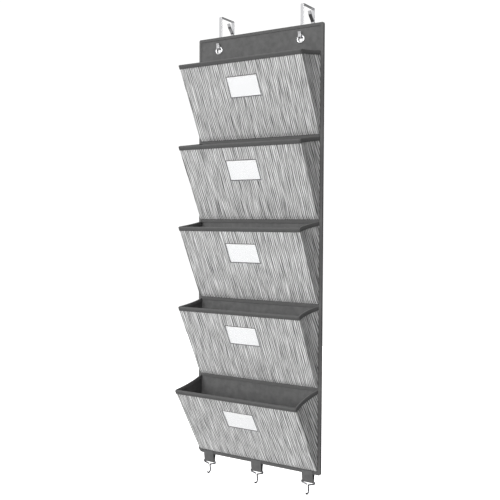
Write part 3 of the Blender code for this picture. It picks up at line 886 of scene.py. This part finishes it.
def roundedPath(corners, steps=8):  # through (point, radius) corners, with an arc at each
    path = [Vector(corners[0][0])]
    for (before, _), (point, radius), (after, _) in zip(corners, corners[1:], corners[2:]):
        corner = Vector(point)
        if radius:
            back, ahead = (Vector(before) - corner).normalized(), (Vector(after) - corner).normalized()
            half = back.angle(ahead) / 2
            centre = corner + (back + ahead).normalized() * radius / math.sin(half)
            first = (corner + back * radius / math.tan(half) - centre).normalized()
            last = (corner + ahead * radius / math.tan(half) - centre).normalized()
            path += [centre + first.slerp(last, step / steps) * radius for step in range(steps + 1)]
        else:
            path.append(corner)
    return path + [Vector(corners[-1][0])]


def wireRoute(loopWidth):  # the wire's middle line, with its crossbar's middle at the origin
    end = loopWidth / 2 + wire["sideGap"] + wire["gauge"] / 2
    foot = -wire["stemTop"] - wire["stem"]
    path = roundedPath([
        ((-wire["cutEnd"], 0, -wire["stemTop"] + wire["cutEnd"] / 2), 0),
        ((-end, 0, -wire["shoulder"]), wire["bend"]),
        ((-end, 0, 0), wire["bend"]),
        ((end, 0, 0), wire["bend"]),
        ((end, 0, -wire["shoulder"]), wire["bend"]),
        ((0, 0, -wire["stemTop"]), wire["bend"]),
        ((0, 0, foot), 0),
    ])
    for step in range(1, wire["arcSteps"] + 1):
        angle = math.pi * wire["turnShare"] * step / wire["arcSteps"]
        path.append(Vector((0, -wire["hookRadius"] * (1 - math.cos(angle)),
                            foot - wire["hookRadius"] * math.sin(angle))))
    return path


def makeWireHook(place):
    low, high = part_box(f"webbing_loop_{place}")
    route = wireRoute(high.x - low.x)
    weight = Vector()
    for start, end in zip(route, route[1:]):
        weight += (start + end) / 2 * (end - start).length
    tilt = math.atan2(-weight.y, -weight.z)  # it hangs with its weight under the crossbar
    bpy.ops.object.select_all(action="DESELECT")
    bpy.ops.curve.primitive_nurbs_path_add()
    piece = bpy.context.object
    curve = piece.data
    curve.splines.clear()
    line = curve.splines.new("POLY")
    line.points.add(len(route) - 1)
    for point, spot in zip(line.points, route):
        point.co = (*spot, 1)
    curve.bevel_depth = wire["gauge"] / 2
    curve.bevel_resolution = wire["roundness"]
    curve.use_fill_caps = True
    curve.twist_mode = "MINIMUM"
    bpy.ops.object.convert(target="MESH")
    piece = bpy.context.object
    piece.name = piece.data.name = f"wire_hook_{place}_wire"
    centre = Vector(joints[f"wire_hook_{place}_swing"]["pos_m"])
    settle(piece, Matrix.Translation(centre) @ Matrix.Rotation(tilt, 4, "X"))
    roundEdges(piece, wire["endRadius"], angle=70)
    wear(piece, zincWire)
    handOver(piece, f"wire_hook_{place}_body", "bright_metal", f"wire_hook_{place}", smoothAngle=50)


for place in ("left", "middle", "right"):
    makeWebbingLoop(place)
    makeWireHook(place)
print("organizer: loops and wire hooks made")


# Studio

studio = {
    "floor": -2.03, "floorSize": 14.0, "floorGlow": 0.85,  # a door's height below the hooks
    "backdrop": 1.05,
    "brightSide": (-0.55, -0.55, 0.63),  # the soft light is brightest from here and falls off from it
    "falloff": [(0.0, "747474"), (0.3, "8c8c8c"), (0.5, "a4a4a4"), (0.65, "cecece"), (1.0, "ececec")],
    "lamps": [("key", 2.65, (0.05, -0.94, 0.33)), ("back", 1.2, (-0.45, 0.80, 0.40))],
    "lampAngle": 40,
}
camera = {
    "lens": 55.16, "sensor": 36, "place": (0.9382, -1.5127, -0.4844),
    "yaw": 32.497, "pitch": -2.099, "roll": 0.259,
}


def makeStudio():
    bpy.ops.object.select_all(action="DESELECT")
    bpy.ops.mesh.primitive_plane_add(size=studio["floorSize"], location=(0, 0, studio["floor"]))
    floor = bpy.context.object
    floor.name = "studio_floor"
    floor.visible_diffuse = floor.visible_glossy = False  # it casts no light up at the piece
    material, _, shader = newMaterial("white_lit_table", Roughness=0.9,
                                      Emission_Strength=studio["floorGlow"])
    shader.inputs["Base Color"].default_value = linear("e6e6e6")
    shader.inputs["Emission Color"].default_value = linear("ffffff")
    wear(floor, material)

    world = bpy.data.worlds.new("studio")
    bpy.context.scene.world = world
    world.use_nodes = True
    tree = world.node_tree
    way = addNode(tree, "TexCoord").outputs["Generated"]
    facing = addNode(tree, "VectorMath", {0: way, 1: studio["brightSide"]}, operation="DOT_PRODUCT")
    share = addNode(tree, "MapRange", {
        "Value": facing.outputs["Value"], "From Min": -1.0, "From Max": 1.0})
    soft = addNode(tree, "ValToRGB", {"Fac": share.outputs[0]}, stops=studio["falloff"])
    seen = addNode(tree, "LightPath").outputs["Is Camera Ray"]  # the backdrop itself is white
    light = addNode(tree, "Mix", {0: seen, 6: soft.outputs["Color"], 7: [studio["backdrop"]] * 3 + [1]},
                    data_type="RGBA")
    tree.links.new(light.outputs[2], tree.nodes["Background"].inputs["Color"])

    for lampName, strength, source in studio["lamps"]:
        turn = Vector(source).to_track_quat("Z", "Y").to_euler()
        bpy.ops.object.light_add(type="SUN", rotation=turn)
        lamp = bpy.context.object
        lamp.name = lampName
        lamp.data.energy = strength
        lamp.data.angle = math.radians(studio["lampAngle"])
        lamp.visible_glossy = lampName == "key"  # the back lamp's mirror image would bleach the metal

    turn = (Matrix.Rotation(math.radians(camera["yaw"]), 4, "Z")
            @ Matrix.Rotation(math.radians(90 + camera["pitch"]), 4, "X")
            @ Matrix.Rotation(math.radians(camera["roll"]), 4, "Z"))
    bpy.ops.object.camera_add(location=camera["place"], rotation=turn.to_euler())
    view = bpy.context.object
    view.data.lens = camera["lens"]
    view.data.sensor_width = camera["sensor"]
    bpy.context.scene.camera = view
    bpy.context.scene.view_settings.view_transform = "Standard"


makeStudio()
print("organizer: studio made")
